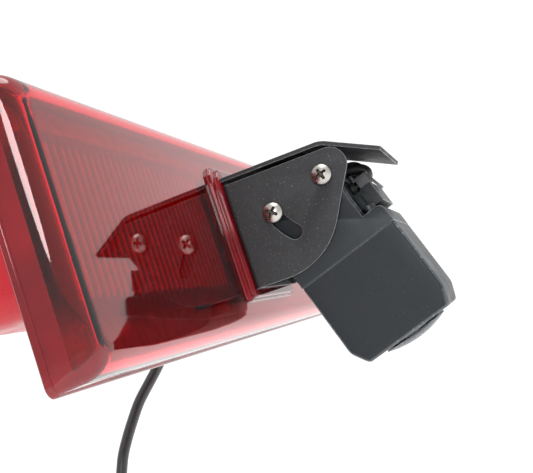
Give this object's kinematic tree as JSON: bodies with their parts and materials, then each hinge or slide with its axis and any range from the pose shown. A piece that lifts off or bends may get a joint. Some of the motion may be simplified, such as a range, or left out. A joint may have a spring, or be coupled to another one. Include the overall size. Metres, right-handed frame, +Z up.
{
  "type": "backup camera",
  "caption": "Long red brake lamp for the rear of a van with a tilting backup camera in a folded black bracket at its middle, and its coiled camera cable.",
  "frame": {"origin": "centre of the sealing plane where the lamp's gasket meets the vehicle's skin", "axes": "+X along the lamp, -Y outward from the vehicle's rear, +Z up"},
  "size_m": [0.274, 0.1545, 0.197],
  "materials": {
    "red_lens": "glossy clear red moulding",
    "red_housing": "deep red semi-gloss moulding",
    "red_optic": "clear red with fine vertical flutes",
    "circuit_board": "solder mask over glass fibre",
    "led_resin": "clear red resin",
    "clear_led": "clear resin",
    "steel": "bright nickel-plated steel",
    "zinc_steel": "zinc-plated sheet",
    "black_powder_coat": "satin black powder coat with fine texture",
    "black_metal": "black anodised",
    "head_plastic": "fine moulded texture, satin",
    "black_nylon": "moulded nylon",
    "black_rubber": "smooth matt rubber",
    "foam_rubber": "closed-cell foam",
    "cable_jacket": "smooth semi-gloss cable jacket",
    "tie_nylon": "smooth nylon strap",
    "brass": "machined",
    "dark_window": "polished dark plate",
    "clear_dome": "polished clear cover",
    "lens_glass": "coated optical glass",
    "sensor_chip": "chip package",
    "nickel_ring": "nickel plated, knurled"
  },
  "bodies": {
    "lamp": {"lens_shell": "red_lens", "lamp_housing": "red_housing", "optic_panel_left": "red_optic", "optic_panel_right": "red_optic", "led_board_left": "circuit_board", "led_board_right": "circuit_board", "leds_left": "led_resin", "leds_right": "led_resin", "led_board_screws": "steel", "rim_gasket": "foam_rubber", "mounting_studs": "steel", "lamp_socket": "black_nylon", "socket_blades": "brass", "backing_plate": "zinc_steel", "bracket": "black_powder_coat", "bracket_screws": "steel", "bracket_grommet": "black_rubber", "inner_lead": "cable_jacket", "cable_gland": "black_rubber", "head_lead": "cable_jacket", "camera_cable": "cable_jacket", "cable_coil": "cable_jacket", "cable_tail": "cable_jacket", "coil_tie": "tie_nylon", "plug_body": "black_rubber", "plug_ring": "nickel_ring", "plug_insert": "black_nylon"},
    "head": {"front_shell": "head_plastic", "rear_shell": "head_plastic", "shell_seal": "black_rubber", "shell_screws": "steel", "thread_inserts": "brass", "pivot_screws": "steel", "lock_screws": "steel", "front_window": "dark_window", "dome_cover": "clear_dome", "lens_barrel": "black_metal", "lens_glass": "lens_glass", "lens_holder": "black_nylon", "image_sensor": "sensor_chip", "sensor_board": "circuit_board", "ir_board": "circuit_board", "ir_leds": "clear_led", "light_sensor": "clear_led", "lead_clamp": "head_plastic", "head_grommet": "black_rubber", "lead_tie": "tie_nylon"}
  },
  "joints": [
    {"name": "head_tilt", "type": "hinge", "parent": "lamp", "child": "head", "pos_m": [0, -0.0435, 0.0065], "axis": [-1, 0, 0], "range_deg": [0, 27], "deforming": ["head_lead"]}
  ]
}
